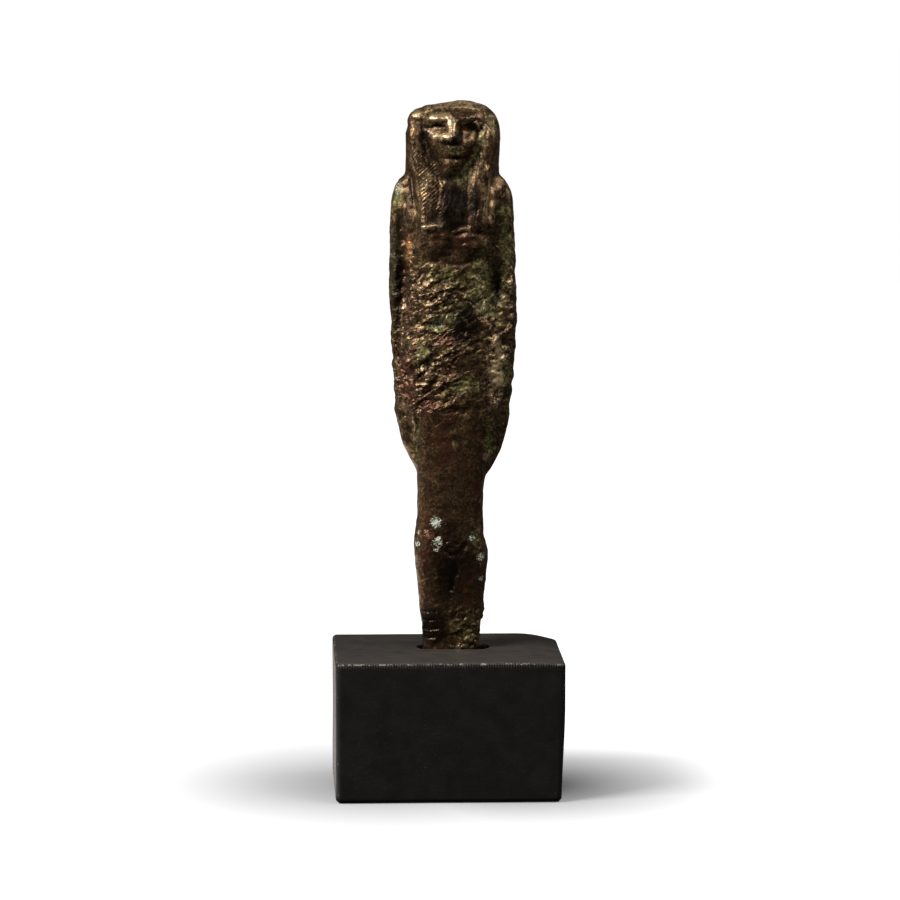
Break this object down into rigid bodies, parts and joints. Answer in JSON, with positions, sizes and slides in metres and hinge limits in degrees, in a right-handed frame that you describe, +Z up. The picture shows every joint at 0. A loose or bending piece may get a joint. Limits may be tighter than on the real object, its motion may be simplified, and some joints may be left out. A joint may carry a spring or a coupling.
{
  "type": "sekhmet statuette",
  "caption": "Slender standing figure of a lioness-headed goddess in a long wig and sheath dress, cast in bronze and set in a slot in a black block plinth.",
  "frame": {"origin": "middle of the plinth's underside", "axes": "+Z up along the figure, the figure faces -Y, +X to the right as one looks at its face"},
  "size_m": [0.0464, 0.0346, 0.1406],
  "materials": {
    "bronze": "old cast bronze, corroded, dark brown with green and red patina",
    "black_wood": "blackened, satin"
  },
  "bodies": {
    "root": {"figure": "bronze", "plinth": "black_wood"}
  },
  "joints": []
}
